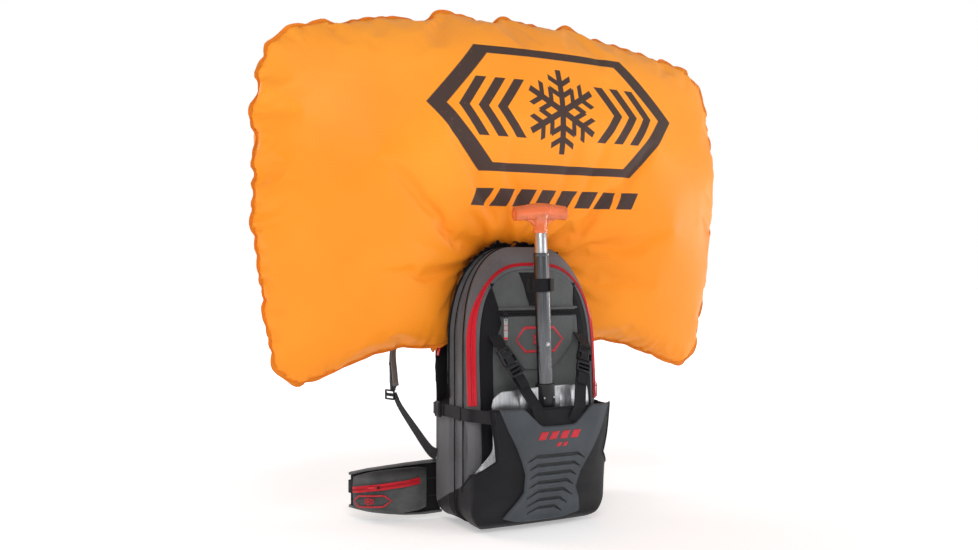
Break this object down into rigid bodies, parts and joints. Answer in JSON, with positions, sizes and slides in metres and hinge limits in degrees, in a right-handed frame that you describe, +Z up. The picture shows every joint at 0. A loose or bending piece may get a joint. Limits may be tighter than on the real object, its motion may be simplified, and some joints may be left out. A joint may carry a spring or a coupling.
{
  "type": "avalanche airbag backpack",
  "caption": "Ski-touring backpack with its pillow-shaped airbag inflated behind the wearer's head, and a collapsible shovel in the front pocket.",
  "frame": {"origin": "centre of the lumbar pad's flat face, where the pack rests on the wearer's lower back", "axes": "+Y from the pack to the wearer, +Z up along the back, +X to the right when looking along +Y at the pack's front"},
  "size_m": [1.076, 0.4471, 1.0236],
  "materials": {
    "airbag_nylon": "coated ripstop with a soft sheen",
    "grey_fabric": "woven polyester",
    "black_fabric": "coated heavy weave",
    "webbing": "woven nylon webbing",
    "foam": "mesh-covered foam",
    "moulded_eva": "moulded, matt",
    "red_zip": "coated zip tape with a moulded coil",
    "black_plastic": "moulded acetal",
    "frame_plastic": "sheet",
    "dark_aluminium": "anodised graphite",
    "silver_aluminium": "brushed and anodised",
    "grip_plastic": "clear moulded",
    "red_plastic": "moulded",
    "cylinder_paint": "powder coat",
    "brass": "machined",
    "hose": "smooth",
    "gauge_face": "printed dial under a clear lens"
  },
  "bodies": {
    "pack": {"main_shell": "grey_fabric", "airbag_channel": "black_fabric", "front_panel": "grey_fabric", "main_zip": "red_zip", "pocket_zip": "black_plastic", "shovel_pocket": "black_fabric", "shovel_panel": "moulded_eva", "shovel_blade": "silver_aluminium", "shovel_shaft_lower": "dark_aluminium", "shaft_keeper": "webbing", "air_cylinder": "cylinder_paint", "cylinder_valve": "brass", "gauge_body": "gauge_face", "ejector_body": "black_plastic", "supply_hose": "hose", "airbag_throat": "black_fabric", "airbag": "airbag_nylon", "lumbar_pad": "foam", "back_pad": "foam", "frame_sheet": "frame_plastic", "frame_hoop": "silver_aluminium", "haul_loop": "webbing", "sternum_strap": "webbing", "sternum_buckle": "black_plastic", "buckle_socket_left": "black_plastic", "buckle_socket_right": "black_plastic", "lower_web_left": "webbing", "lower_web_right": "webbing", "upper_web_left": "webbing", "upper_web_right": "webbing", "side_strap_left": "webbing", "side_strap_right": "webbing", "side_adjuster_left": "black_plastic", "side_adjuster_right": "black_plastic", "shoulder_strap_left": "foam", "shoulder_strap_right": "foam", "strap_web_left": "webbing", "strap_web_right": "webbing", "strap_adjuster_left": "black_plastic", "strap_adjuster_right": "black_plastic", "trigger_holster": "black_plastic", "trigger_cable": "hose"},
    "upper_shaft": {"shovel_shaft_upper": "silver_aluminium", "shovel_grip": "grip_plastic"},
    "button": {"spring_button": "silver_aluminium"},
    "plug_left": {"buckle_plug_left": "black_plastic"},
    "plug_right": {"buckle_plug_right": "black_plastic"},
    "pocket_slider": {"pocket_zip_slider": "black_plastic"},
    "pocket_pull": {"pocket_zip_pull": "silver_aluminium"},
    "main_slider": {"main_zip_slider": "red_plastic"},
    "wing_left": {"hip_belt_left": "foam", "waist_clip_left": "black_plastic", "hip_pocket": "grey_fabric"},
    "wing_right": {"hip_belt_right": "foam", "waist_clip_right": "black_plastic"},
    "hip_slider": {"hip_zip_slider": "red_plastic"},
    "trigger": {"trigger_handle": "red_plastic"},
    "plunger": {"valve_plunger": "silver_aluminium"},
    "needle": {"gauge_needle": "red_plastic"}
  },
  "joints": [
    {"name": "shaft_extend", "type": "slide", "parent": "pack", "child": "upper_shaft", "axis": [-0.0349, 0, 0.9994], "range_m": [0, 0.15], "deforming": ["spring_button"]},
    {"name": "button_press", "type": "slide", "parent": "upper_shaft", "child": "button", "axis": [0, 1, 0], "range_m": [0, 0.0035], "stiffness_N_per_m": 300, "springref_m": -0.002},
    {"name": "buckle_release_left", "type": "slide", "parent": "pack", "child": "plug_left", "axis": [0.3613, -0.4272, -0.8288], "range_m": [0, 0.022]},
    {"name": "buckle_release_right", "type": "slide", "parent": "pack", "child": "plug_right", "axis": [-0.3613, -0.4272, -0.8288], "range_m": [0, 0.022]},
    {"name": "pocket_zip_slide", "type": "slide", "parent": "pack", "child": "pocket_slider", "axis": [1, 0, 0], "range_m": [0, 0.15]},
    {"name": "pocket_pull_swing", "type": "hinge", "parent": "pocket_slider", "child": "pocket_pull", "pos_m": [-0.078, -0.1918, 0.3075], "axis": [-1, 0, 0], "range_deg": [0, 110]},
    {"name": "main_zip_slide", "type": "slide", "parent": "pack", "child": "main_slider", "axis": [0, 0.0559, 0.9984], "range_m": [0, 0.08]},
    {"name": "hip_wing_left", "type": "hinge", "parent": "pack", "child": "wing_left", "pos_m": [-0.128, -0.01, -0.051], "axis": [0, 0, -1], "range_deg": [-10, 50], "stiffness_Nm_per_rad": 0.5},
    {"name": "hip_wing_right", "type": "hinge", "parent": "pack", "child": "wing_right", "pos_m": [0.128, -0.01, -0.051], "axis": [0, 0, 1], "range_deg": [-10, 50], "stiffness_Nm_per_rad": 0.5},
    {"name": "hip_zip_slide", "type": "slide", "parent": "wing_left", "child": "hip_slider", "axis": [0.8944, -0.4472, 0], "range_m": [0, 0.035]},
    {"name": "trigger_pull", "type": "slide", "parent": "pack", "child": "trigger", "axis": [-0.3786, -0.1474, -0.9137], "range_m": [0, 0.025]},
    {"name": "plunger_lift", "type": "slide", "parent": "pack", "child": "plunger", "axis": [0, 0, 1], "range_m": [0, 0.008]},
    {"name": "needle_turn", "type": "hinge", "parent": "pack", "child": "needle", "pos_m": [0.1, -0.1722, 0.182], "axis": [0, 1, 0], "range_deg": [0, 240]}
  ],
  "couplings": [
    {"joint": "plunger_lift", "follows": "trigger_pull", "ratio": 0.32}
  ]
}
